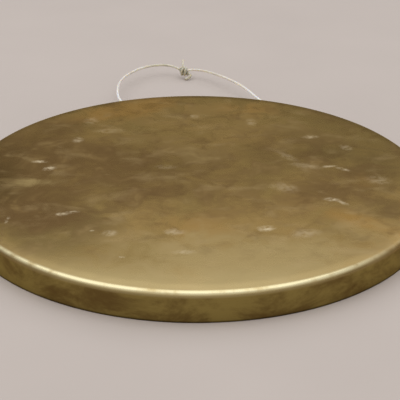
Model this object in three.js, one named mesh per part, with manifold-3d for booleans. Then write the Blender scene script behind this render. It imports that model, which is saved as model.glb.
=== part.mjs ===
// A flat brass gong plate: one spun sheet with a level face and a turned-down rim, and the nylon
// line that hangs it. The line goes through two holes in the rim and its ends are knotted together.
// Millimetres, +Z up. The plate lies face up on its rim's free edge, which is z = 0, and the origin
// is under the middle of the face. The two holes and the hanging line are on the +Y side.
import * as THREE from "three";
import { mergeVertices } from "three/addons/utils/BufferGeometryUtils.js";
import Module from "manifold-3d";

// Driving dimensions of the plate
const PLATE_RADIUS = 152;
const PLATE_HEIGHT = 19;
const SHEET = 1.6;
const BEND_RADIUS = 4; // outside radius of the tight bend between face and rim
const SHOULDER_RADIUS = 62; // the face falls away over this radius before the tight bend
const SHOULDER_ANGLE = THREE.MathUtils.degToRad(6);
const LIP_ROUND = 0.35; // broken corners of the rim's free edge
const PLATE_SIDES = 96;
const SHOULDER_STEPS = 2;
const BEND_STEPS = 6;

// Driving dimensions of the holes and the line
const HOLE_ANGLE = THREE.MathUtils.degToRad(20.5); // each side of +Y
const HOLE_RADIUS = 1.6;
const HOLE_HEIGHT = 10;
const HOLE_SIDES = 20;
const LINE_DIAMETER = 2;
const LINE_SIDES = 8;
const LINE_STEP = 3 * LINE_DIAMETER; // between the rings of the line's tubes
const PIVOT_OUT = 1.5; // the loop swings about an axis this far outside the rim, at each hole
const LOOP_START = -0.6; // along the line from the pivot, where each strand of the loop begins
const INNER_END = -1.1; // along the line from the pivot, where the inner run ends
const KNOT_RADIUS = 3.6;
const KNOT_GAP = 0.3; // between the knot and each piece of line that meets it

const wasm = await Module();
wasm.setup();

function solidOf(geometry) {
  const bare = geometry.index ? geometry.toNonIndexed() : geometry.clone();
  bare.deleteAttribute("normal");
  bare.deleteAttribute("uv");
  const merged = mergeVertices(bare, 1e-4);
  return new wasm.Manifold(
    new wasm.Mesh({
      numProp: 3,
      vertProperties: merged.attributes.position.array,
      triVerts: new Uint32Array(merged.index.array),
    }),
  );
}

function geometryOf(solid) {
  const mesh = solid.getMesh();
  const geometry = new THREE.BufferGeometry();
  geometry.setAttribute("position", new THREE.BufferAttribute(mesh.vertProperties, 3));
  geometry.setIndex(new THREE.BufferAttribute(mesh.triVerts, 1));
  geometry.computeVertexNormals();
  return geometry;
}

// Points of an arc of the section, from one tilt of the surface normal to another.
// A tilt of 0 is a level surface and a quarter turn is an upright wall.
function arc(centre, radius, fromTilt, toTilt, steps) {
  return Array.from({ length: steps + 1 }, (_, i) => {
    const tilt = fromTilt + ((toTilt - fromTilt) * i) / steps;
    return new THREE.Vector2(Math.sin(tilt), Math.cos(tilt)).multiplyScalar(radius).add(centre);
  });
}

// The outside of the sheet from the face's edge to the wall, moved inwards by depth.
function skin(depth, bendSteps) {
  const upright = Math.PI / 2;
  const bendCentre = new THREE.Vector2(
    PLATE_RADIUS - BEND_RADIUS,
    PLATE_HEIGHT - SHOULDER_RADIUS + (SHOULDER_RADIUS - BEND_RADIUS) * Math.cos(SHOULDER_ANGLE),
  );
  const shoulderCentre = new THREE.Vector2(
    bendCentre.x - (SHOULDER_RADIUS - BEND_RADIUS) * Math.sin(SHOULDER_ANGLE),
    PLATE_HEIGHT - SHOULDER_RADIUS,
  );
  const shoulder = arc(shoulderCentre, SHOULDER_RADIUS - depth, 0, SHOULDER_ANGLE, SHOULDER_STEPS);
  const bend = arc(bendCentre, BEND_RADIUS - depth, SHOULDER_ANGLE, upright, bendSteps);
  return [...shoulder, ...bend.slice(1)];
}

// The sheet's section, from the middle of the underside round the free edge to the middle of the face.
function plateProfile() {
  const inside = PLATE_RADIUS - SHEET;
  const lip = [
    new THREE.Vector2(inside, LIP_ROUND),
    new THREE.Vector2(inside + LIP_ROUND, 0),
    new THREE.Vector2(PLATE_RADIUS - LIP_ROUND, 0),
    new THREE.Vector2(PLATE_RADIUS, LIP_ROUND),
  ];
  return [
    new THREE.Vector2(0, PLATE_HEIGHT - SHEET),
    ...skin(SHEET, BEND_STEPS - 1),
    ...lip,
    ...skin(0, BEND_STEPS).reverse(),
    new THREE.Vector2(0, PLATE_HEIGHT),
  ];
}

// The outward direction of the rim at a hole: side is 1 for the +X hole and -1 for the -X hole.
function outwards(side) {
  return new THREE.Vector3(side * Math.sin(HOLE_ANGLE), Math.cos(HOLE_ANGLE), 0);
}

// The point on the axis of a hole that is some distance outside the rim's outer surface.
function besideHole(side, out) {
  return outwards(side)
    .multiplyScalar(PLATE_RADIUS + out)
    .setZ(HOLE_HEIGHT);
}

function holeCutter(side) {
  const length = 4 * SHEET;
  const cutter = new THREE.CylinderGeometry(HOLE_RADIUS, HOLE_RADIUS, length, HOLE_SIDES);
  const turn = new THREE.Quaternion().setFromUnitVectors(
    new THREE.Vector3(0, 1, 0), outwards(side),
  );
  const middle = besideHole(side, -SHEET / 2);
  return cutter.applyQuaternion(turn).translate(middle.x, middle.y, middle.z);
}

function plateGeometry() {
  const spun = new THREE.LatheGeometry(plateProfile(), PLATE_SIDES).rotateX(Math.PI / 2);
  let solid = solidOf(spun);
  for (const side of [-1, 1]) solid = solid.subtract(solidOf(holeCutter(side)));
  return geometryOf(solid);
}

// A plain tube along points, which are joined by one smooth curve.
function tube(points) {
  const route = new THREE.CatmullRomCurve3(points, false, "centripetal");
  const section = new THREE.Shape();
  section.absarc(0, 0, LINE_DIAMETER / 2, 0, 2 * Math.PI);
  return new THREE.ExtrudeGeometry(section, {
    steps: Math.ceil(route.getLength() / LINE_STEP),
    curveSegments: LINE_SIDES,
    bevelEnabled: false,
    extrudePath: route,
  });
}

const at = (x, y, z) => new THREE.Vector3(x, y, z);

// Inside the rim the line bows from hole to hole, a little below the holes in its middle.
function innerRun() {
  const half = [
    at(52.1, 139.3, 10),
    at(50.2, 134.4, 9.9),
    at(45.8, 130.1, 9.8),
    at(39.0, 127.3, 9.6),
    at(28.0, 125.2, 9.3),
    at(14.0, 123.9, 9.1),
  ];
  const mirrored = half.map((p) => at(-p.x, p.y, p.z)).reverse();
  return [
    besideHole(1, PIVOT_OUT + INNER_END),
    ...half,
    at(0, 123.5, 9),
    ...mirrored,
    besideHole(-1, PIVOT_OUT + INNER_END),
  ];
}

const KNOT = at(-11.5, 242.0, 7.4);

// The point where a piece of line meets the knot, coming towards it from the given place.
function besideKnot(place) {
  const away = place.clone().sub(KNOT).normalize();
  return KNOT.clone().addScaledVector(away, KNOT_RADIUS + KNOT_GAP);
}

// The strand from the +X hole to the knot. It lies nearly level, at the height of the holes.
function rightStrand() {
  const nearKnot = at(-2.6, 243.1, 7.7);
  return [
    besideHole(1, PIVOT_OUT + LOOP_START),
    besideHole(1, PIVOT_OUT + 3),
    at(54.7, 150.6, 10.0),
    at(53.3, 155.2, 10.1),
    at(51.1, 160.2, 10.1),
    at(48.5, 166.4, 10.1),
    at(44.5, 177.2, 10.0),
    at(40.4, 188.0, 9.9),
    at(36.0, 198.2, 9.7),
    at(30.8, 207.6, 9.5),
    at(24.8, 216.8, 9.2),
    at(18.2, 225.9, 8.8),
    at(11.4, 233.9, 8.4),
    at(4.6, 239.8, 8.0),
    nearKnot,
    besideKnot(nearKnot),
  ];
}

// The strand from the -X hole to the knot. It runs straight back before it turns.
function leftStrand() {
  const nearKnot = at(-17.2, 247.0, 7.9);
  return [
    besideHole(-1, PIVOT_OUT + LOOP_START),
    besideHole(-1, PIVOT_OUT + 5),
    at(-58.1, 154.8, 10.1),
    at(-60.9, 162.4, 10.2),
    at(-62.8, 170.8, 10.3),
    at(-63.9, 179.6, 10.4),
    at(-64.3, 190.0, 10.5),
    at(-63.8, 201.0, 10.5),
    at(-61.8, 212.0, 10.4),
    at(-58.2, 222.4, 10.3),
    at(-53.2, 232.4, 10.1),
    at(-46.6, 241.2, 9.9),
    at(-38.8, 247.8, 9.5),
    at(-30.8, 251.4, 9.0),
    at(-23.4, 251.2, 8.4),
    nearKnot,
    besideKnot(nearKnot),
  ];
}

// The knot's body: a small closed round shape of the real knot's size.
function knotBody() {
  return new THREE.SphereGeometry(KNOT_RADIUS, 16, 10).translate(KNOT.x, KNOT.y, KNOT.z);
}

// The ends of the line stand out of the knot, one up and back and one down to the ground.
const TAIL_TIPS = {
  knot_tail_upper: at(-12.2, 250.4, 13.8),
  knot_tail_lower: at(-11.0, 239.2, 0.6),
};

function tail(tip) {
  const root = besideKnot(tip);
  return tube([root, tip]);
}

const brass = new THREE.MeshStandardMaterial({ color: 0x8a7442, roughness: 0.38, metalness: 1 });
const nylon = new THREE.MeshStandardMaterial({ color: 0xe2dfd6, roughness: 0.25, metalness: 0 });

const gong = new THREE.Group();

function add(name, geometry, material) {
  const mesh = new THREE.Mesh(geometry, material);
  mesh.name = name;
  gong.add(mesh);
}

add("plate", plateGeometry(), brass);
add("line_inner_run", tube(innerRun()), nylon);
add("loop_strand_right", tube(rightStrand()), nylon);
add("loop_strand_left", tube(leftStrand()), nylon);
add("loop_knot", knotBody(), nylon);
for (const [name, tip] of Object.entries(TAIL_TIPS)) add(name, tail(tip), nylon);

export default gong;
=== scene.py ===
"""A flat brass gong plate with a turned-down rim and the nylon line that hangs it.

Everything is in metres, +Z up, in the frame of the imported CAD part. The plate lies face up on its
rim, and the line's loop lies behind it, on the +Y side.
"""
import math

import bmesh
import bpy
import numpy as np
from mathutils import Matrix, Vector, noise


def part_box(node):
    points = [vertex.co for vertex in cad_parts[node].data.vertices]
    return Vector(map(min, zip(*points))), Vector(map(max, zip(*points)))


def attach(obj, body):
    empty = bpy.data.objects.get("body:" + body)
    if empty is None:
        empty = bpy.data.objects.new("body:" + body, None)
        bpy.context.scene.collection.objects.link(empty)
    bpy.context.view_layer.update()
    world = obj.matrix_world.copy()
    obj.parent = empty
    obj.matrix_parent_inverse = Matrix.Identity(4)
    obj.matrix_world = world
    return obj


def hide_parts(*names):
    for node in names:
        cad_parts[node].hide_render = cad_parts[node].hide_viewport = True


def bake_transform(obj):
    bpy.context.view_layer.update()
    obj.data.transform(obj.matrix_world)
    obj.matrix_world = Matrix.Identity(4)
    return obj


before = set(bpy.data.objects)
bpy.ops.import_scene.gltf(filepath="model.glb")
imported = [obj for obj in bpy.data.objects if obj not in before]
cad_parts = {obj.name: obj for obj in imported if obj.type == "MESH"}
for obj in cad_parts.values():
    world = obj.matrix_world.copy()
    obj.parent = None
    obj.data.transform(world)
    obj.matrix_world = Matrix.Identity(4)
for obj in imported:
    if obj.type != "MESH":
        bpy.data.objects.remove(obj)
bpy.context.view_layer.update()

MM = 0.001

# ---------------------------------------------------------------- sizes shared with the CAD part
PLATE_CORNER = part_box("plate")[1]
RADIUS = PLATE_CORNER.x
HEIGHT = PLATE_CORNER.z
SHEET = 1.6 * MM
BEND_RADIUS = 4.0 * MM
SHOULDER_RADIUS = 62.0 * MM
SHOULDER_ANGLE = math.radians(6)
LIP_ROUND = 0.35 * MM
HOLE_ANGLE = math.radians(20.5)
HOLE_RADIUS = 1.6 * MM
HOLE_HEIGHT = 10.0 * MM
LINE_DIAMETER = 2.0 * MM
PIVOT_OUT = 1.5 * MM


# ---------------------------------------------------------------- camera
LENS_MM = 99.0
SENSOR_MM = 36.0
NEAREST_SEEN = 0.01
CAMERA_PLACE = (0.0028, -0.6566, 0.3162)
CAMERA_DOWN = math.radians(25.68)
CAMERA_ROLL = math.radians(0.195)


def make_camera():
    """The photograph's viewing angle: a long lens in front of the plate and above it."""
    data = bpy.data.cameras.new("camera")
    data.sensor_width = SENSOR_MM
    data.lens = LENS_MM
    data.clip_start = NEAREST_SEEN
    camera = bpy.data.objects.new("camera", data)
    bpy.context.scene.collection.objects.link(camera)
    tilt = Matrix.Rotation(math.pi / 2 - CAMERA_DOWN, 4, "X")
    roll = Matrix.Rotation(CAMERA_ROLL, 4, "Z")
    camera.matrix_world = Matrix.Translation(CAMERA_PLACE) @ (tilt @ roll)
    bpy.context.scene.camera = camera


# ---------------------------------------------------------------- the line's route, as in the CAD
def outwards(side):
    """The outward direction of the rim at a hole: side is 1 for the +X hole, -1 for the -X hole."""
    return Vector((side * math.sin(HOLE_ANGLE), math.cos(HOLE_ANGLE), 0))


def beside_hole(side, out):
    """The point on a hole's axis that is some distance outside the rim's outer surface."""
    place = outwards(side) * (RADIUS + out)
    return Vector((place.x, place.y, HOLE_HEIGHT))


KNOT = Vector((-11.5, 242.0, 7.4)) * MM
INSIDE_RIM = -3.0 * MM  # where the loop's line and the inner run meet, inside the rim
STRAIGHT_RIGHT = 3.0 * MM  # how far past the swing's axis each strand goes straight out
STRAIGHT_LEFT = 5.0 * MM

RIGHT_STRAND = (
    (54.7, 150.6, 10.0),
    (53.3, 155.2, 10.1),
    (51.1, 160.2, 10.1),
    (48.5, 166.4, 10.1),
    (44.5, 177.2, 10.0),
    (40.4, 188.0, 9.9),
    (36.0, 198.2, 9.7),
    (30.8, 207.6, 9.5),
    (24.8, 216.8, 9.2),
    (18.2, 225.9, 8.8),
    (11.4, 233.9, 8.4),
    (4.6, 239.8, 8.0),
    (-2.6, 243.1, 7.7),
)
LEFT_STRAND = (
    (-58.1, 154.8, 10.1),
    (-60.9, 162.4, 10.2),
    (-62.8, 170.8, 10.3),
    (-63.9, 179.6, 10.4),
    (-64.3, 190.0, 10.5),
    (-63.8, 201.0, 10.5),
    (-61.8, 212.0, 10.4),
    (-58.2, 222.4, 10.3),
    (-53.2, 232.4, 10.1),
    (-46.6, 241.2, 9.9),
    (-38.8, 247.8, 9.5),
    (-30.8, 251.4, 9.0),
    (-23.4, 251.2, 8.4),
    (-17.2, 247.0, 7.9),
)
INNER_RUN_HALF = (
    (52.1, 139.3, 10.0),
    (50.2, 134.4, 9.9),
    (45.8, 130.1, 9.8),
    (39.0, 127.3, 9.6),
    (28.0, 125.2, 9.3),
    (14.0, 123.9, 9.1),
)
INNER_RUN_MIDDLE = (0.0, 123.5, 9.0)


def in_metres(points):
    return [Vector(p) * MM for p in points]


def loop_route():
    """From inside the +X hole, round the loop through the knot, to inside the -X hole."""
    right = [beside_hole(1, out) for out in (INSIDE_RIM, 0, PIVOT_OUT + STRAIGHT_RIGHT)]
    left = [beside_hole(-1, out) for out in (INSIDE_RIM, 0, PIVOT_OUT + STRAIGHT_LEFT)]
    return [*right, *in_metres(RIGHT_STRAND), KNOT, *reversed([*left, *in_metres(LEFT_STRAND)])]


def inner_route():
    """The bow inside the rim, from hole to hole."""
    half = in_metres(INNER_RUN_HALF)
    mirrored = [Vector((-p.x, p.y, p.z)) for p in reversed(half)]
    middle = Vector(INNER_RUN_MIDDLE) * MM
    ends = [beside_hole(side, INSIDE_RIM) for side in (1, -1)]
    return [ends[0], *half, middle, *mirrored, ends[1]]


STEPS_BETWEEN = 24  # of the curve between two given points, before it is spaced evenly


def smooth(points, spacing):
    """One smooth curve through points (a centripetal Catmull-Rom spline), evenly spaced."""
    p = np.array([tuple(v) for v in points])
    p = np.vstack([2 * p[0] - p[1], p, 2 * p[-1] - p[-2]])
    fine = []
    for a, b, c, d in zip(p, p[1:], p[2:], p[3:]):
        gaps = [math.sqrt(np.linalg.norm(y - x)) for x, y in ((a, b), (b, c), (c, d))]
        t = np.cumsum([0.0, *gaps])
        u = np.linspace(t[1], t[2], STEPS_BETWEEN, endpoint=False)[:, None]
        ab = (t[1] - u) / (t[1] - t[0]) * a + (u - t[0]) / (t[1] - t[0]) * b
        bc = (t[2] - u) / (t[2] - t[1]) * b + (u - t[1]) / (t[2] - t[1]) * c
        cd = (t[3] - u) / (t[3] - t[2]) * c + (u - t[2]) / (t[3] - t[2]) * d
        abc = (t[2] - u) / (t[2] - t[0]) * ab + (u - t[0]) / (t[2] - t[0]) * bc
        bcd = (t[3] - u) / (t[3] - t[1]) * bc + (u - t[1]) / (t[3] - t[1]) * cd
        fine.append((t[2] - u) / (t[2] - t[1]) * abc + (u - t[1]) / (t[2] - t[1]) * bcd)
    fine = np.vstack([*fine, p[-2:-1]])
    along = np.concatenate([[0], np.cumsum(np.linalg.norm(np.diff(fine, axis=0), axis=1))])
    at = np.linspace(0, along[-1], max(3, round(along[-1] / spacing) + 1))
    return np.stack([np.interp(at, along, fine[:, k]) for k in range(3)], axis=1)


# ---------------------------------------------------------------- mesh helpers
def new_object(name, mesh):
    piece = bpy.data.objects.new(name, mesh)
    bpy.context.scene.collection.objects.link(piece)
    return piece


def mesh_from(name, vertices, faces):
    mesh = bpy.data.meshes.new(name)
    mesh.from_pydata([tuple(v) for v in vertices], [], faces)
    mesh.polygons.foreach_set("use_smooth", [True] * len(mesh.polygons))
    mesh.update()
    return mesh


def ring_faces(rings, sides):
    """Quads between each ring of vertices and the next."""
    faces = []
    for first in range(0, (rings - 1) * sides, sides):
        for i in range(sides):
            j = (i + 1) % sides
            faces.append((first + i, first + j, first + sides + j, first + sides + i))
    return faces


TUBE_SIDES = 12
NEARLY_UPRIGHT = 0.1  # length of the cross product with +Z, below which a direction is upright


def tube(name, path, radius):
    """A tube along path, with a flat end at both."""
    tangents = np.gradient(path, axis=0)
    tangents /= np.linalg.norm(tangents, axis=1)[:, None]
    side = np.cross(tangents[0], (0, 0, 1))
    if np.linalg.norm(side) < NEARLY_UPRIGHT:
        side = np.cross(tangents[0], (0, 1, 0))
    vertices = []
    for place, tangent in zip(path, tangents):
        side = side - tangent * (side @ tangent)
        side /= np.linalg.norm(side)
        up = np.cross(side, tangent)
        for i in range(TUBE_SIDES):
            turn = 2 * math.pi * i / TUBE_SIDES
            vertices.append(place + radius * (side * math.cos(turn) + up * math.sin(turn)))
    faces = ring_faces(len(path), TUBE_SIDES)
    last = (len(path) - 1) * TUBE_SIDES
    faces.append(tuple(reversed(range(TUBE_SIDES))))
    faces.append(tuple(range(last, last + TUBE_SIDES)))
    mesh = mesh_from(name, vertices, faces)
    outward_faces(mesh)
    return new_object(name, mesh)


def outward_faces(mesh):
    work = bmesh.new()
    work.from_mesh(mesh)
    bmesh.ops.recalc_face_normals(work, faces=work.faces)
    work.to_mesh(mesh)
    work.free()


# ---------------------------------------------------------------- the plate
PLATE_SIDES = 288
FACE_RINGS = 52
FIRST_RING = 3.0 * MM  # radius of the innermost ring
SHOULDER_STEPS = 5
OUTER_BEND_STEPS = 16
INNER_BEND_STEPS = 8
WALL_STEPS = 9
LIP_STEPS = 3
SHARP_ANGLE = math.radians(32)

FACE_WAVE = 0.16 * MM  # how far the face is from flat
FACE_DENTS = (  # dents per metre, share, place in the noise
    (11, 1.0, Vector((3.1, 7.7, 0.4))),
    (31, 0.45, Vector((1.9, 4.2, 2.6))),
)
DENTS_FADE = (0.86 * RADIUS, 0.975 * RADIUS)  # the face's dents end between these radii
RIM_WAVE = 0.22 * MM  # how far the rim is from round
RIM_BENDS = ((1.6, 1.0, 5.3), (5, 0.4, 9.1))  # radius of the circle in the noise, share, height in it
BENDS_START = (0.95 * RADIUS, 0.985 * RADIUS)
BENDS_WHOLE = 0.35 * HEIGHT  # below this the rim is bent by the whole of its wave
BENDS_LEFT = 0.35  # share of the rim's wave that is left at the top

HOLE_SIDES = 32
HOLE_FLARE = 0.25 * MM  # how far the holes' edges are broken
CUTTER_REACH = 3.0 * MM


def arc(centre, radius, from_tilt, to_tilt, steps):
    """Points (radius from the axis, height); a tilt of 0 is a level surface."""
    tilts = np.linspace(from_tilt, to_tilt, steps + 1)
    return [(centre[0] + radius * math.sin(t), centre[1] + radius * math.cos(t)) for t in tilts]


def skin(depth, bend_steps):
    """The sheet's outside from the shoulder to the top of the wall, moved inwards by depth."""
    bend = (
        RADIUS - BEND_RADIUS,
        HEIGHT - SHOULDER_RADIUS + (SHOULDER_RADIUS - BEND_RADIUS) * math.cos(SHOULDER_ANGLE),
    )
    shoulder = (
        bend[0] - (SHOULDER_RADIUS - BEND_RADIUS) * math.sin(SHOULDER_ANGLE),
        HEIGHT - SHOULDER_RADIUS,
    )
    return [
        *arc(shoulder, SHOULDER_RADIUS - depth, 0, SHOULDER_ANGLE, SHOULDER_STEPS)[:-1],
        *arc(bend, BEND_RADIUS - depth, SHOULDER_ANGLE, math.pi / 2, bend_steps),
    ]


def lip():
    """Round the free edge of the rim, from the outside to the inside."""
    outer, inner = RADIUS - LIP_ROUND, RADIUS - SHEET + LIP_ROUND
    corner = [math.pi / 2 * k / LIP_STEPS for k in range(LIP_STEPS + 1)]
    first = [(outer + LIP_ROUND * math.cos(a), LIP_ROUND * (1 - math.sin(a))) for a in corner]
    second = [(inner - LIP_ROUND * math.sin(a), LIP_ROUND * (1 - math.cos(a))) for a in corner]
    return first + second


def between(a, b, steps):
    """Points strictly between two points."""
    return [tuple(np.array(a) + (np.array(b) - a) * k / steps) for k in range(1, steps)]


def plate_profile():
    """The sheet's section from near the middle of the face, round the rim, to the underside."""
    outside, inside = skin(0, OUTER_BEND_STEPS), skin(SHEET, INNER_BEND_STEPS)
    edge = lip()
    above, below = (FIRST_RING, HEIGHT), (FIRST_RING, HEIGHT - SHEET)
    face = [above, *between(above, outside[0], FACE_RINGS)]
    under = [*between(inside[0], below, FACE_RINGS), below]
    wall = between(outside[-1], edge[0], WALL_STEPS)
    back = between(edge[-1], inside[-1], WALL_STEPS)
    return [*face, *outside, *wall, *edge, *back, *reversed(inside), *under]


def ease(value, low, high):
    """0 below low, 1 above high, smooth between."""
    t = min(1.0, max(0.0, (value - low) / (high - low)))
    return t * t * (3 - 2 * t)


def worked(radius, height, turn):
    """A point of the spun sheet, with the small unevenness of hand work. Both skins move alike."""
    c, s = math.cos(turn), math.sin(turn)
    place = Vector((c, s, 0)) * radius
    up = sum(share * noise.noise(place * scale + offset) for scale, share, offset in FACE_DENTS)
    up *= FACE_WAVE * (1 - ease(radius, *DENTS_FADE))
    out = sum(share * noise.noise(Vector((r * c, r * s, z))) for r, share, z in RIM_BENDS)
    low = 1 - ease(height, BENDS_WHOLE, HEIGHT - SHEET)
    out *= RIM_WAVE * ease(radius, *BENDS_START) * (BENDS_LEFT + (1 - BENDS_LEFT) * low)
    return ((radius + out) * c, (radius + out) * s, height + up)


def hole_cutter():
    """Spools that cut the two rim holes and break their edges on both sides."""
    half = SHEET / 2
    wide = HOLE_RADIUS + 2 * HOLE_FLARE
    profile = (
        (-CUTTER_REACH, wide),
        (-half - HOLE_FLARE, wide),
        (-half + HOLE_FLARE, HOLE_RADIUS),
        (half - HOLE_FLARE, HOLE_RADIUS),
        (half + HOLE_FLARE, wide),
        (CUTTER_REACH, wide),
    )
    vertices, faces = [], []
    for side in (-1, 1):
        middle, axis = beside_hole(side, -half), outwards(side)
        across = axis.cross(Vector((0, 0, 1)))
        first = len(vertices)
        for along, radius in profile:
            for i in range(HOLE_SIDES):
                a = 2 * math.pi * i / HOLE_SIDES
                round_it = across * math.cos(a) + Vector((0, 0, math.sin(a)))
                vertices.append(middle + axis * along + round_it * radius)
        faces += [tuple(first + v for v in f) for f in ring_faces(len(profile), HOLE_SIDES)]
        last = first + (len(profile) - 1) * HOLE_SIDES
        faces.append(tuple(reversed(range(first, first + HOLE_SIDES))))
        faces.append(tuple(range(last, last + HOLE_SIDES)))
    mesh = mesh_from("hole_cutter", vertices, faces)
    outward_faces(mesh)
    return new_object("hole_cutter", mesh)


def apply_modifiers(piece):
    evaluated = piece.evaluated_get(bpy.context.evaluated_depsgraph_get())
    mesh = bpy.data.meshes.new_from_object(evaluated)
    piece.modifiers.clear()
    piece.data = mesh


def make_plate():
    profile = plate_profile()
    turns = [2 * math.pi * i / PLATE_SIDES for i in range(PLATE_SIDES)]
    vertices = [worked(r, z, turn) for r, z in profile for turn in turns]
    faces = ring_faces(len(profile), PLATE_SIDES)
    top = len(vertices)
    vertices += [worked(0, HEIGHT, 0), worked(0, HEIGHT - SHEET, 0)]
    last = (len(profile) - 1) * PLATE_SIDES
    for i in range(PLATE_SIDES):
        j = (i + 1) % PLATE_SIDES
        faces.append((top, i, j))
        faces.append((last + i, top + 1, last + j))
    mesh = mesh_from("brass_plate", vertices, faces)
    outward_faces(mesh)
    plate = new_object("brass_plate", mesh)
    cutter = hole_cutter()
    cut = plate.modifiers.new("holes", "BOOLEAN")
    cut.object = cutter
    cut.operation = "DIFFERENCE"
    cut.solver = "EXACT"
    apply_modifiers(plate)
    bpy.data.objects.remove(cutter)
    plate.data.polygons.foreach_set("use_smooth", [True] * len(plate.data.polygons))
    plate.data.set_sharp_from_angle(angle=SHARP_ANGLE)
    return plate


# ---------------------------------------------------------------- the line and its knot
WRAP_TURNS = 2.5
WRAP_STEPS = 14  # in each turn
WRAP_PITCH = 2.08 * MM
WRAP_HALF_WIDTH = 2.05 * MM  # of the oval that the line's centre winds round
WRAP_HALF_HEIGHT = 3.0 * MM
TUCK_DROP = 2.0 * MM  # the tucked end lies this far below the standing line, inside the turns
TURN_BACK_DROP = 0.8 * MM  # where it turns back to be wound
UPPER_TAIL = ((-12.3, 246.4, 10.9), (-12.3, 248.4, 12.4), (-12.2, 250.3, 13.7))
LOWER_TAIL = ((-5.6, 239.4, 3.6), (-7.6, 237.6, 2.0), (-10.4, 237.8, 1.2))


def knot_route(core):
    """From one cut end, through the turns and back round the standing line, to the other end."""
    near = int(np.argmin(np.linalg.norm(core - np.array(KNOT), axis=1)))
    along = np.concatenate([[0], np.cumsum(np.linalg.norm(np.diff(core, axis=0), axis=1))])
    along -= along[near]

    def beside(at, across, above):
        """A point beside the standing line, some way along it from the knot's middle."""
        place = np.array([np.interp(at, along, core[:, c]) for c in range(3)])
        ahead = np.array([np.interp(at + WRAP_PITCH, along, core[:, c]) for c in range(3)])
        tangent = (ahead - place) / np.linalg.norm(ahead - place)
        side = np.cross((0, 0, 1), tangent)
        side /= np.linalg.norm(side)
        return Vector(place + across * side + above * np.cross(tangent, side))

    half = WRAP_TURNS * WRAP_PITCH / 2
    tucked = [beside(at, 0, -TUCK_DROP) for at in (-half, 0, half)]
    turned = beside(half + LINE_DIAMETER, 0, -TURN_BACK_DROP)
    wound = []
    steps = round(WRAP_STEPS * WRAP_TURNS)
    for k in range(steps + 1):
        share = k / steps
        turn = 2 * math.pi * WRAP_TURNS * share
        across = -WRAP_HALF_WIDTH * math.sin(turn)
        above = WRAP_HALF_HEIGHT * math.cos(turn) - TUCK_DROP / 2
        wound.append(beside(half * (1 - 2 * share), across, above))
    return [*reversed(in_metres(LOWER_TAIL)), *tucked, turned, *wound, *in_metres(UPPER_TAIL)]


LOOP_SPACING = 1.0 * MM
INNER_SPACING = 1.5 * MM
KNOT_SPACING = 0.35 * MM
KNOT_SQUEEZE = 0.97  # the line is drawn this much thinner in the knot

# Where the loop's line is clear, and drawn darker and olive there as painted shade, in mm: it clears
# along Y, and most where it turns at the far end
CLEAR_SHADED_FROM, CLEAR_SHADED_OVER = 170, 56
TURN_X, TURN_WIDTH, TURN_BEYOND_Y = -28, 11, 240
CLEAR_SHADED_FAR, CLEAR_SHADED_TURN = 0.54, 0.46


def paint_clearness_and_shade(mesh):
    """The line is clear round the far end of the loop and milky towards the rim's holes. Where it is
    clear its colour is darker and olive, a painted shade.
    """
    co = np.array([tuple(v.co) for v in mesh.vertices]) / MM
    far = np.clip((co[:, 1] - CLEAR_SHADED_FROM) / CLEAR_SHADED_OVER, 0, 1)
    turn = np.exp(-(((co[:, 0] - TURN_X) / TURN_WIDTH) ** 2)) * (co[:, 1] > TURN_BEYOND_Y)
    write_attribute(mesh, "clear", CLEAR_SHADED_FAR * far + CLEAR_SHADED_TURN * turn)


def make_line():
    radius = LINE_DIAMETER / 2
    path = smooth(loop_route(), LOOP_SPACING)
    loop = tube("hanging_line", path, radius)
    inner = tube("line_inner_run_smooth", smooth(inner_route(), INNER_SPACING), radius)
    knot_path = smooth(knot_route(path), KNOT_SPACING)
    knot = tube("knot_wraps", knot_path, radius * KNOT_SQUEEZE)
    return loop, path, inner, knot


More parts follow.
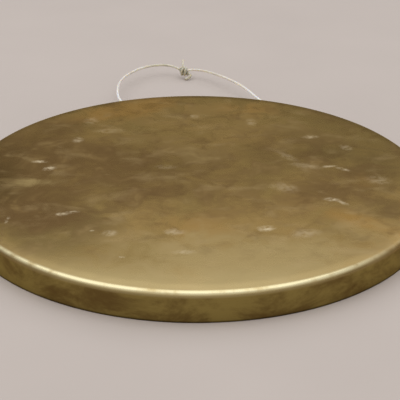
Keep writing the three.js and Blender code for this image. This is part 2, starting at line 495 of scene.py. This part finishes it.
# ---------------------------------------------------------------- materials
class Nodes:
    """Small helper to build a material's node tree."""

    def __init__(self, name):
        self.material = bpy.data.materials.new(name)
        self.material.use_nodes = True
        self.tree = self.material.node_tree
        self.shader = self.tree.nodes["Principled BSDF"]

    def add(self, kind, **settings):
        node = self.tree.nodes.new(kind)
        for key, value in settings.items():
            setattr(node, key, value)
        return node

    def link(self, source, target):
        self.tree.links.new(source, target)

    def put(self, socket, value):
        """Links an output to the socket, or sets the socket to a constant."""
        if isinstance(value, bpy.types.NodeSocket):
            self.link(value, socket)
        else:
            socket.default_value = value

    def set(self, name, value):
        """Sets or links one of the shader's own inputs."""
        self.put(self.shader.inputs[name], value)

    def place(self):
        return self.add("ShaderNodeTexCoord").outputs["Object"]

    def scaled(self, vector, scale, offset):
        node = self.add("ShaderNodeMapping")
        self.put(node.inputs["Vector"], vector)
        node.inputs["Scale"].default_value = scale
        node.inputs["Location"].default_value = offset
        return node.outputs["Vector"]

    def noise(self, vector, scale, detail, roughness, distortion=0.0):
        """Noise from 0 to 1. scale is its features per metre."""
        node = self.add("ShaderNodeTexNoise")
        self.put(node.inputs["Vector"], vector)
        node.inputs["Scale"].default_value = scale
        node.inputs["Detail"].default_value = detail
        node.inputs["Roughness"].default_value = roughness
        node.inputs["Distortion"].default_value = distortion
        return node.outputs["Fac"]

    def noise_1d(self, value, scale, detail, roughness):
        node = self.add("ShaderNodeTexNoise", noise_dimensions="1D")
        self.put(node.inputs["W"], value)
        node.inputs["Scale"].default_value = scale
        node.inputs["Detail"].default_value = detail
        node.inputs["Roughness"].default_value = roughness
        return node.outputs["Fac"]

    def attribute(self, name):
        return self.add("ShaderNodeAttribute", attribute_name=name).outputs["Fac"]

    def math(self, operation, a, b=0.0):
        node = self.add("ShaderNodeMath", operation=operation)
        self.put(node.inputs[0], a)
        self.put(node.inputs[1], b)
        return node.outputs["Value"]

    def times(self, first, *others):
        for other in others:
            first = self.math("MULTIPLY", first, other)
        return first

    def between(self, share, low, high):
        """A straight line from low, where share is 0, to high, where it is 1."""
        return self.math("ADD", self.times(share, high - low), low)

    def vector_math(self, operation, a, *others):
        node = self.add("ShaderNodeVectorMath", operation=operation)
        for socket, value in zip(node.inputs, (a, *others)):
            self.put(socket, value)
        return node.outputs["Value" if operation == "LENGTH" else "Vector"]

    def ramp(self, value, low, high):
        """0 below low, 1 above high, smooth between. low may be above high."""
        node = self.add("ShaderNodeMapRange", interpolation_type="SMOOTHSTEP")
        self.put(node.inputs["Value"], value)
        flip = low > high
        node.inputs["From Min"].default_value = high if flip else low
        node.inputs["From Max"].default_value = low if flip else high
        node.inputs["To Min"].default_value = 1.0 if flip else 0.0
        node.inputs["To Max"].default_value = 0.0 if flip else 1.0
        return node.outputs["Result"]

    def mix(self, share, a, b):
        node = self.add("ShaderNodeMix", data_type="RGBA")
        self.put(node.inputs[0], share)
        self.put(node.inputs[6], a)
        self.put(node.inputs[7], b)
        return node.outputs[2]

    def blend_values(self, share, a, b):
        node = self.add("ShaderNodeMix", data_type="FLOAT")
        self.put(node.inputs[0], share)
        self.put(node.inputs[2], a)
        self.put(node.inputs[3], b)
        return node.outputs[0]

    def axes(self, vector):
        node = self.add("ShaderNodeSeparateXYZ")
        self.put(node.inputs[0], vector)
        return node.outputs

    def bump(self, height, distance, strength, normal=None):
        node = self.add("ShaderNodeBump")
        self.put(node.inputs["Height"], height)
        node.inputs["Distance"].default_value = distance
        node.inputs["Strength"].default_value = strength
        if normal is not None:
            self.link(normal, node.inputs["Normal"])
        return node.outputs["Normal"]


# Colours of the tarnish on the face
GOLD = (0.322, 0.213, 0.080, 1)
OLIVE = (0.259, 0.180, 0.066, 1)
DARK_OLIVE = (0.165, 0.117, 0.048, 1)
BROWN = (0.128, 0.071, 0.032, 1)
UMBER = (0.060, 0.033, 0.014, 1)
STRAW = (0.384, 0.289, 0.130, 1)
COPPER = (0.374, 0.212, 0.061, 1)
SMEAR = (0.430, 0.318, 0.158, 1)  # where hands have rubbed the tarnish thin
# A painted highlight: the face's shoulder at the front, drawn lighter where it reflects the light.
SHOULDER_HIGHLIGHT = (0.470, 0.374, 0.180, 1)  # the shoulder at the front
# The bend: brass worn bright, drawn lighter still as a painted highlight.
WORN_AND_HIGHLIGHT = (0.60, 0.54, 0.33, 1)  # the bend
CHALK = (0.60, 0.51, 0.33, 1)
# Colours of the wall and of the underside
WALL_LIGHT = (0.310, 0.235, 0.070, 1)
WALL_DARK = (0.150, 0.093, 0.026, 1)
# painted shade along the wall's free edge, where it meets the floor
EDGE_SHADE = (0.05, 0.038, 0.02, 1)
UNDER_LIGHT = (0.27, 0.185, 0.075, 1)
UNDER_DARK = (0.20, 0.125, 0.05, 1)
UNDER_RINGS = (0.36, 0.265, 0.115, 1)

# Broad patches of tarnish on the face: x, y, half width, half depth in mm, turn in degrees, strength
PATCHES = {
    "straw": (
        (16, -122, 64, 22, 0, 1.1),
        (0, -95, 60, 20, 0, 0.5),
        (112, -76, 24, 18, 0, 0.5),
        (60, -105, 40, 18, 15, 0.8),
        (-104, -13, 19, 7, 4, 0.95),
        (0, 30, 20, 30, 0, 0.25),
    ),
    "gold": (
        (-105, -13, 19, 9, 10, 0.9),
        (32, -112, 80, 26, 0, 0.5),
        (0, 104, 70, 26, 0, 0.6),
        (-70, 102, 14, 12, 0, 0.5),
        (45, 112, 24, 14, 0, 0.5),
    ),
    "olive": (
        (-96, -58, 36, 22, 0, 1.2),
        (-88, -92, 34, 20, -20, 1.1),
        (-58, -72, 26, 22, 0, 0.6),
        (95, 95, 32, 22, -30, 0.7),
        (92, 35, 16, 14, 0, 0.9),
        (-45, 100, 12, 10, 0, 0.5),
        (124, 16, 26, 50, 0, 1.3),
        (76, 58, 28, 20, 0, 0.6),
        (-118, 36, 18, 22, 0, 0.5),
        (118, -52, 14, 20, 0, 0.7),
    ),
    "brown": (
        (-58, 4, 60, 50, 0, 0.68),
        (-114, 52, 34, 26, 0, 0.75),
        (-124, 4, 32, 40, 0, 1.4),
        (-116, -42, 36, 36, 0, 0.85),
        (-88, -62, 28, 24, 20, 1.0),
        (-60, 34, 34, 26, 0, 0.55),
        (-94, 86, 26, 20, 30, 0.75),
        (6, 8, 60, 44, 0, 0.30),
        (-30, -20, 30, 30, 0, 0.35),
        (40, 20, 50, 36, 0, 0.25),
        (28, -42, 60, 24, 0, 0.34),
        (66, 50, 36, 30, -20, 0.65),
        (114, 16, 30, 34, 0, 0.65),
        (88, -24, 28, 22, 0, 0.75),
        (100, 100, 30, 14, -40, 0.50),
        (122, -50, 16, 24, -20, 0.40),
        (62, -62, 18, 10, 0, 0.30),
    ),
    "umber": (
        (-136, -2, 24, 28, 0, 1.2),
        (-126, -34, 18, 18, 0, 0.7),
        (-128, 38, 16, 16, 0, 0.5),
    ),
    "copper": (
        (-58, 114, 30, 16, 25, 1.7),
        (-36, 130, 22, 12, 10, 1.4),
        (38, 120, 22, 14, 0, 0.8),
        (-2, -78, 26, 20, 0, 0.7),
        (101, -68, 28, 9, -35, 1.3),
        (112, -10, 12, 10, -20, 0.5),
    ),
}

# Chalky scuffs on the face: x, y, half length, half width in mm, turn in degrees, strength
SCUFFS = (
    (-2, 104, 3.6, 4.5, 0, 0.30),
    (-83, 58, 4.4, 5.5, 0, 0.45),
    (-105, 20, 5.7, 2.2, 0, 0.75),
    (-97, 9, 4.8, 3.4, 40, 0.70),
    (81, 65, 6.2, 3.1, 5, 0.48),
    (104, 46, 4.0, 6.0, 30, 0.30),
    (89, 14, 5.7, 2.0, 12, 0.55),
    (98, 9, 6.6, 2.0, -35, 0.55),
    (85, -37, 5.3, 2.5, -12, 0.75),
    (91, -41, 5.7, 2.0, -45, 0.55),
    (42, -77, 5.7, 3.9, 12, 0.80),
    (-12, -82, 7.1, 4.7, 0, 0.42),
    (-50, -84, 4.8, 4.2, 40, 0.46),
    (-81, -59, 4.4, 2.5, 12, 0.75),
    (-75, -56, 4.8, 2.0, 15, 0.62),
    (-61, -81, 1.5, 1.2, 0, 0.80),
    (-41, -113, 1.9, 1.2, 0, 0.85),
    (-113, -67, 5.2, 1.5, 85, 0.45),
    (65, -83, 10.0, 6.0, 15, 0.32),
    (-6, -107, 7.0, 3.0, 0, 0.34),
    (57, -20, 10.0, 7.0, -30, 0.24),
    (40, 93, 4.5, 8.0, 0, 0.24),
    (-77, 95, 6.0, 8.0, 0, 0.22),
    (-63, 75, 12.0, 5.0, 0, 0.20),
    (73, 15, 12.0, 5.0, -20, 0.22),
    (62, 30, 4.0, 12.0, 35, 0.20),
    (118, -8, 9.0, 7.0, -20, 0.26),
    (-20, 12, 8.0, 4.0, 0, 0.18),
)


def paint_tarnish(mesh):
    """Gives each vertex of the plate its share of each tarnish, and says which skin it is on."""
    co = np.array([tuple(v.co) for v in mesh.vertices]) / MM
    for kind, patches in PATCHES.items():
        total = np.zeros(len(co))
        for x, y, wide, deep, turn, strength in patches:
            c, s = math.cos(math.radians(turn)), math.sin(math.radians(turn))
            dx, dy = co[:, 0] - x, co[:, 1] - y
            reach = ((c * dx + s * dy) / wide) ** 2 + ((c * dy - s * dx) / deep) ** 2
            total += strength * np.exp(-reach)
        write_attribute(mesh, kind, total)
    radius = np.hypot(co[:, 0], co[:, 1])
    bend_low = (HEIGHT - BEND_RADIUS) / MM
    bend_in = (RADIUS - BEND_RADIUS) / MM
    half_depth = (BEND_RADIUS - SHEET / 2) / MM
    flat = (co[:, 2] < (HEIGHT - SHEET / 2) / MM) & (radius < bend_in)
    upright = (radius < (RADIUS - SHEET / 2) / MM) & (co[:, 2] < bend_low)
    round_it = np.hypot(radius - bend_in, co[:, 2] - bend_low) < half_depth
    corner = round_it & (radius >= bend_in) & (co[:, 2] >= bend_low)
    write_attribute(mesh, "inside", (flat | upright | corner).astype(float))


def write_attribute(mesh, name, values):
    attribute = mesh.attributes.new(name, "FLOAT", "POINT")
    attribute.data.foreach_set("value", values.astype(np.float32))


# Noises of the brass: features per metre, detail, roughness and distortion
CLOUD = (13, 6, 0.6, 0.6)
MOTTLE = (42, 5, 0.6, 0.7)
FINE = (260, 4, 0.6)
BLOTS = (62, 4, 0.6, 0.5)
SMEARS = (54, 3, 0.55, 0.4)
WALL_BLOTCH = (26, 6, 0.68, 0.4)
BEND_PATCHES = (70, 4, 0.6)
HAIRLINES = (1.0, 3, 0.6, 0.3)
LATHE_RINGS = (1.3, 3, 0.6)  # features per millimetre of radius
# How those noises are stretched, and moved so that no two are alike
BLOTS_FRAME = ((1, 1.1, 1), (0.7, 0.2, 0))
SMEARS_FRAME = ((0.8, 1.1, 1), (0.1, 0.9, 0))
WALL_FRAME = ((1, 1, 1.6), (0, 0, 0))
HAIRLINES_FRAME = ((30, 420, 60), (0, 0, 0))

# The tarnishes in the order in which they are laid on, with the most that each covers
TARNISHES = (
    ("gold", GOLD, 0.75),
    ("olive", DARK_OLIVE, 0.75),
    ("brown", BROWN, 0.85),
    ("umber", UMBER, 0.75),
    ("copper", COPPER, 0.7),
    ("straw", STRAW, 0.9),
)
RAGGED = 2.4  # how far the noise breaks up their edges
# In each range of two values below, a share grows from none at the first to all at the second
PATCH_EDGE = (0.0, 1.25)
CLOUD_EDGE = (0.32, 0.68)
BLOT_EDGE = (0.46, 0.76)
BLOTS_AT_FRONT, BLOTS_BEHIND = 0.14, 0.56
BLOTS_GROW = (-125 * MM, -60 * MM)  # along Y
SMEAR_EDGE, SMEAR_MOST = (0.50, 0.78), 0.40
SPECKLE_EDGE, SPECKLE_MOST = (0.60, 0.76), 0.09

HIGHLIGHT_AND_WEAR_MIDDLE_X = -12 * MM  # the bend's wear and the painted highlights on the front shoulder and the bend are strongest here, and less to both sides
# Painted highlight on the face's shoulder, at the front only, fading towards both sides.
SHOULDER_HIGHLIGHT_RADII = (RADIUS - 34 * MM, RADIUS - 5 * MM)
SHOULDER_HIGHLIGHT_FRONT = (-85 * MM, -138 * MM)  # along Y
SHOULDER_HIGHLIGHT_SIDES = (105 * MM, 30 * MM)
SHOULDER_HIGHLIGHT_MOST, SHOULDER_HIGHLIGHT_LEAST = 0.65, 0.4

BLOTCH_EDGE = (0.36, 0.62)
WALL_HEIGHTS, WALL_MOST = (16.6 * MM, 14.6 * MM), 0.94
# Painted shade along the wall's free edge: the heights where it starts and is strongest, and how much
# there is
EDGE_SHADE_HEIGHTS, EDGE_SHADE_MOST = (1.7 * MM, 0.3 * MM), 0.8

# The bend's wear with its painted highlight: narrow in height and fading towards the sides.
WORN_HIGHLIGHT_RADII = (RADIUS - 3.8 * MM, RADIUS - 1.9 * MM)
WORN_HIGHLIGHT_HEIGHTS = (16.4 * MM, 18.0 * MM)
WORN_HIGHLIGHT_EDGE = (0.25, 0.55)
WORN_HIGHLIGHT_SIDES, WORN_HIGHLIGHT_LEAST = (124 * MM, 88 * MM), 0.3

SCUFF_GRAIN = 320  # features per metre of the noise that bends the scuffs' outlines
SCUFF_WANDER = 1.5 * MM
SCUFF_EDGE = (1.25, 0.2)
SCUFF_GAPS = (0.30, 0.58)
SCUFF_MOST = 0.85

UNDER_EDGE = (0.38, 0.66)
RING_EDGE, RING_MOST = (0.45, 0.65), 0.35
UNDER_MOST = 0.9

MOTTLE_EDGE = (0.3, 0.7)
FACE_ROUGHNESS = (0.22, 0.33)  # smoothest and roughest
WORN_ROUGHNESS = 0.24
WALL_ROUGHNESS = 0.46
CHALK_ROUGHNESS = 0.62
UNDER_ROUGHNESS = 0.55
CHALK_METALLIC = 0.25
# Bumps: how far they stand up, and their strength
HAIRLINE_BUMP = (0.02 * MM, 0.5)
RING_BUMP = (0.10 * MM, 0.8)
FINE_BUMP = (0.004 * MM, 0.5)
BRASS_SHEEN = (1.0, 0.88, 0.62, 1)  # the metal's tint where it is seen at a low angle


def sideways(n, place):
    """Distance along X from the middle of the wear and of the painted highlights."""
    return n.math("ABSOLUTE", n.math("SUBTRACT", n.axes(place)[0], HIGHLIGHT_AND_WEAR_MIDDLE_X))


def face_tone(n, place, radius, outside, cloud, mottle, fine):
    """Cloudy tarnish: broad patches broken up by noise, dark blots, pale smears and a fine speckle,
    with a painted highlight on the shoulder at the front.
    """
    along_y = n.axes(place)[1]
    ragged = n.times(n.math("SUBTRACT", mottle, 0.5), RAGGED)
    tone = n.mix(n.ramp(cloud, *CLOUD_EDGE), OLIVE, GOLD)
    for kind, colour, most in TARNISHES:
        share = n.math("ADD", n.attribute(kind), ragged)
        tone = n.mix(n.times(n.ramp(share, *PATCH_EDGE), most, outside), tone, colour)
    blots = n.ramp(n.noise(n.scaled(place, *BLOTS_FRAME), *BLOTS), *BLOT_EDGE)
    soiled = n.between(n.ramp(along_y, *BLOTS_GROW), BLOTS_AT_FRONT, BLOTS_BEHIND)
    tone = n.mix(n.times(blots, soiled), tone, BROWN)
    smears = n.ramp(n.noise(n.scaled(place, *SMEARS_FRAME), *SMEARS), *SMEAR_EDGE)
    tone = n.mix(n.times(smears, SMEAR_MOST), tone, SMEAR)
    tone = n.mix(n.times(n.ramp(fine, *SPECKLE_EDGE), SPECKLE_MOST), tone, BROWN)
    # painted highlight: the shoulder at the front is drawn lighter, least at the sides
    middle = n.between(n.ramp(sideways(n, place), *SHOULDER_HIGHLIGHT_SIDES), SHOULDER_HIGHLIGHT_LEAST, 1.0)
    shoulder_highlight = n.times(n.ramp(radius, *SHOULDER_HIGHLIGHT_RADII), SHOULDER_HIGHLIGHT_MOST, n.ramp(along_y, *SHOULDER_HIGHLIGHT_FRONT))
    return n.mix(n.times(shoulder_highlight, middle, outside), tone, SHOULDER_HIGHLIGHT)


def wear_and_highlight_of_bend(n, place, radius, height, outside):
    """How far handling has worn the bend bright, with a painted highlight laid along it. Both are
    least at the two sides.
    """
    on_bend = n.times(n.ramp(radius, *WORN_HIGHLIGHT_RADII), n.ramp(height, *WORN_HIGHLIGHT_HEIGHTS), outside)
    middle = n.between(n.ramp(sideways(n, place), *WORN_HIGHLIGHT_SIDES), WORN_HIGHLIGHT_LEAST, 1.0)
    return n.times(on_bend, n.ramp(n.noise(place, *BEND_PATCHES), *WORN_HIGHLIGHT_EDGE), middle)


def chalkiness(n, place, fine):
    """The strongest scuff at each place. A scuff is an oval with a ragged outline and small gaps."""
    wander = n.add("ShaderNodeTexNoise")
    n.link(place, wander.inputs["Vector"])
    wander.inputs["Scale"].default_value = SCUFF_GRAIN
    centred = ((2 * SCUFF_WANDER,) * 3, (-SCUFF_WANDER,) * 3)
    shift = n.vector_math("MULTIPLY_ADD", wander.outputs["Color"], *centred)
    moved = n.vector_math("ADD", place, shift)
    chalk = 0.0
    for x, y, long, wide, turn, strength in SCUFFS:
        spot = n.add("ShaderNodeMapping", vector_type="TEXTURE")
        n.link(moved, spot.inputs["Vector"])
        spot.inputs["Location"].default_value = (x * MM, y * MM, 0)
        spot.inputs["Rotation"].default_value = (0, 0, math.radians(turn))
        spot.inputs["Scale"].default_value = (long * MM, wide * MM, 1)
        far = n.vector_math("LENGTH", spot.outputs["Vector"])
        chalk = n.math("MAXIMUM", chalk, n.times(n.ramp(far, *SCUFF_EDGE), strength))
    return n.times(chalk, n.ramp(fine, *SCUFF_GAPS))


def brass_material():
    n = Nodes("old_brass")
    place = n.place()
    x, y, height = n.axes(place)
    radius = n.math("SQRT", n.math("ADD", n.times(x, x), n.times(y, y)))
    inside = n.attribute("inside")
    outside = n.math("SUBTRACT", 1.0, inside)
    cloud = n.noise(place, *CLOUD)
    mottle = n.noise(place, *MOTTLE)
    fine = n.noise(place, *FINE)
    tone = face_tone(n, place, radius, outside, cloud, mottle, fine)

    # the wall keeps its dark tarnish; painted shade darkens it further along the free edge, where it
    # stands on the floor
    blotch = n.ramp(n.noise(n.scaled(place, *WALL_FRAME), *WALL_BLOTCH), *BLOTCH_EDGE)
    wall = n.ramp(height, *WALL_HEIGHTS)
    tone = n.mix(n.times(wall, WALL_MOST), tone, n.mix(blotch, WALL_DARK, WALL_LIGHT))
    # painted shade along the free edge
    tone = n.mix(n.times(n.ramp(height, *EDGE_SHADE_HEIGHTS), EDGE_SHADE_MOST), tone, EDGE_SHADE)

    # the bend worn bright by handling, and a painted highlight along it
    worn_and_highlight = wear_and_highlight_of_bend(n, place, radius, height, outside)
    tone = n.mix(worn_and_highlight, tone, WORN_AND_HIGHLIGHT)
    chalk = n.times(chalkiness(n, place, fine), outside)
    tone = n.mix(n.times(chalk, SCUFF_MOST), tone, CHALK)

    # the underside is dull and shows the rings of the spinning lathe
    rings = n.noise_1d(n.times(radius, 1 / MM), *LATHE_RINGS)
    dull = n.mix(n.ramp(cloud, *UNDER_EDGE), UNDER_LIGHT, UNDER_DARK)
    dull = n.mix(n.times(n.ramp(rings, *RING_EDGE), RING_MOST), dull, UNDER_RINGS)
    n.set("Base Color", n.mix(n.times(inside, UNDER_MOST), tone, dull))

    rough = n.blend_values(n.ramp(mottle, *MOTTLE_EDGE), *FACE_ROUGHNESS)
    rough = n.blend_values(worn_and_highlight, rough, WORN_ROUGHNESS)
    rough = n.blend_values(n.times(wall, outside), rough, WALL_ROUGHNESS)
    rough = n.blend_values(chalk, rough, CHALK_ROUGHNESS)
    n.set("Roughness", n.blend_values(inside, rough, UNDER_ROUGHNESS))
    n.set("Metallic", n.between(chalk, 1.0, CHALK_METALLIC))
    n.set("Specular Tint", BRASS_SHEEN)

    # hairline scratches, the lathe's rings underneath and a faint grain
    hairs = n.noise(n.scaled(place, *HAIRLINES_FRAME), *HAIRLINES)
    normal = n.bump(hairs, *HAIRLINE_BUMP)
    normal = n.bump(n.times(rings, inside), *RING_BUMP, normal)
    n.set("Normal", n.bump(fine, *FINE_BUMP, normal))
    return n.material


MILKY = (0.97, 0.91, 0.855, 1)
# Clear nylon, drawn darker and olive as painted shade
CLEAR_SHADED = (0.56, 0.53, 0.40, 1)
NYLON_PATCHES, NYLON_EDGE = (120, 3, 0.5), (0.35, 0.65)
CLEAR_RANGE = (0.7, 1.1)  # the line's clearness, and so its painted shade, is multiplied by a number between these
NYLON_SCRATCHES = (900, 3, 0.6)
NYLON_BUMP = (0.009 * MM, 0.5)
NYLON_ROUGHNESS = (0.14, 0.36)
# How clear the inner run and the knot are, and so how far painted shade darkens them
INNER_CLEAR_SHADED = 0.2
KNOT_CLEAR_SHADED = 0.9


def nylon_material(name, clear):
    """Nylon from milky to clear, the clear part darkened and olive as painted shade. The clear share
    is a number, or the name of a vertex attribute.
    """
    n = Nodes(name)
    place = n.place()
    share = n.attribute(clear) if isinstance(clear, str) else clear
    patchy = n.ramp(n.noise(place, *NYLON_PATCHES), *NYLON_EDGE)
    share = n.times(share, n.between(patchy, *CLEAR_RANGE))
    n.set("Base Color", n.mix(share, MILKY, CLEAR_SHADED))
    scratches = n.noise(place, *NYLON_SCRATCHES)
    n.set("Roughness", n.blend_values(scratches, *NYLON_ROUGHNESS))
    n.set("Normal", n.bump(scratches, *NYLON_BUMP))
    n.set("IOR", 1.53)
    n.set("Transmission Weight", 0.2)
    n.set("Subsurface Weight", 1.0)
    n.set("Subsurface Radius", (1.0, 0.9, 0.7))
    n.set("Subsurface Scale", 2 * MM)
    return n.material


# ---------------------------------------------------------------- floor and light
FLOOR_RADIUS = 8.0
FLOOR_SIDES = 96
FLOOR_CLOUD = (9, 3, 0.5)
FLOOR_TONES = ((0.44, 0.391, 0.353, 1), (0.487, 0.433, 0.392, 1))
FLOOR_ROUGHNESS = 0.85


def make_floor():
    work = bmesh.new()
    bmesh.ops.create_circle(work, cap_ends=True, segments=FLOOR_SIDES, radius=FLOOR_RADIUS)
    mesh = bpy.data.meshes.new("floor")
    work.to_mesh(mesh)
    work.free()
    floor = new_object("floor", mesh)
    n = Nodes("pale_floor")
    n.set("Base Color", n.mix(n.noise(n.place(), *FLOOR_CLOUD), *FLOOR_TONES))
    n.set("Roughness", FLOOR_ROUGHNESS)
    mesh.materials.append(n.material)


# Levels of the studio's light against the sine of the elevation: 0 is the horizon and 1 overhead
BEHIND = (
    (0.0, 0.22),
    (0.28, 0.15),
    (0.38, 0.26),
    (0.46, 0.56),
    (0.54, 0.96),
    (0.70, 0.80),
    (1.0, 0.76),
)
AROUND = (
    (0.0, 0.30),
    (0.37, 0.40),
    (0.67, 0.66),
    (0.88, 0.76),
    (1.0, 0.76),
)
# How much of BEHIND counts: 0 is in front and at the sides, and 1 is straight behind
TOWARDS_BACK = ((0.0, 0.0), (0.25, 0.0), (0.7, 1.0), (1.0, 1.0))
STUDIO_STRENGTH = 1.5
# Green and blue of a level as shares of its red: that of a dark one, and what a bright one has more
GREEN_SHARE = (0.90, 0.12)
BLUE_SHARE = (0.75, 0.36)


def make_world():
    """A studio with dim walls and a bright ceiling, brightest where it starts behind the plate."""
    world = bpy.data.worlds.new("studio")
    world.use_nodes = True
    tree = world.node_tree
    coordinates = tree.nodes.new("ShaderNodeTexCoord")
    axes = tree.nodes.new("ShaderNodeSeparateXYZ")
    tree.links.new(coordinates.outputs["Generated"], axes.inputs[0])

    def levels(socket, stops):
        """Levels along a ramp, the dim ones a little warm and the bright ones a little cool."""
        ramp = tree.nodes.new("ShaderNodeValToRGB")
        tree.links.new(socket, ramp.inputs["Fac"])
        elements = ramp.color_ramp.elements
        while len(elements) < len(stops):
            elements.new(0.5)
        for element, (position, level) in zip(elements, stops):
            green, blue = (dark + more * level for dark, more in (GREEN_SHARE, BLUE_SHARE))
            element.position = position
            element.color = (level, level * green, level * blue, 1)
        return ramp.outputs["Color"]

    mix = tree.nodes.new("ShaderNodeMix")
    mix.data_type = "RGBA"
    tree.links.new(levels(axes.outputs["Y"], TOWARDS_BACK), mix.inputs[0])
    tree.links.new(levels(axes.outputs["Z"], AROUND), mix.inputs[6])
    tree.links.new(levels(axes.outputs["Z"], BEHIND), mix.inputs[7])
    background = tree.nodes["Background"]
    tree.links.new(mix.outputs[2], background.inputs["Color"])
    background.inputs["Strength"].default_value = STUDIO_STRENGTH
    bpy.context.scene.world = world


SOFTBOX_SIZE = (2.3, 1.4)
SOFTBOX_PLACE = (-0.25, 0, 1.5)
SOFTBOX_WATTS = 7.2


def make_light():
    """One large softbox, level above the plate."""
    data = bpy.data.lights.new("softbox", "AREA")
    data.shape = "RECTANGLE"
    data.size, data.size_y = SOFTBOX_SIZE
    data.energy = SOFTBOX_WATTS
    light = bpy.data.objects.new("softbox", data)
    light.location = SOFTBOX_PLACE
    bpy.context.scene.collection.objects.link(light)


# ---------------------------------------------------------------- everything together
make_camera()
loop, loop_path, inner, knot = make_line()
plate = make_plate()

paint_tarnish(plate.data)
plate.data.materials.append(brass_material())
paint_clearness_and_shade(loop.data)
loop.data.materials.append(nylon_material("line_nylon", "clear"))
inner.data.materials.append(nylon_material("inner_nylon", INNER_CLEAR_SHADED))
knot.data.materials.append(nylon_material("knot_nylon", KNOT_CLEAR_SHADED))

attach(plate, "gong_plate")
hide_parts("plate")
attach(inner, "gong_plate")
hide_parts("line_inner_run")
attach(knot, "hanging_loop")
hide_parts("loop_knot", "knot_tail_upper", "knot_tail_lower")

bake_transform(loop)
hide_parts("loop_strand_right", "loop_strand_left")

make_floor()
make_world()
make_light()
bpy.context.scene.view_settings.view_transform = "Standard"
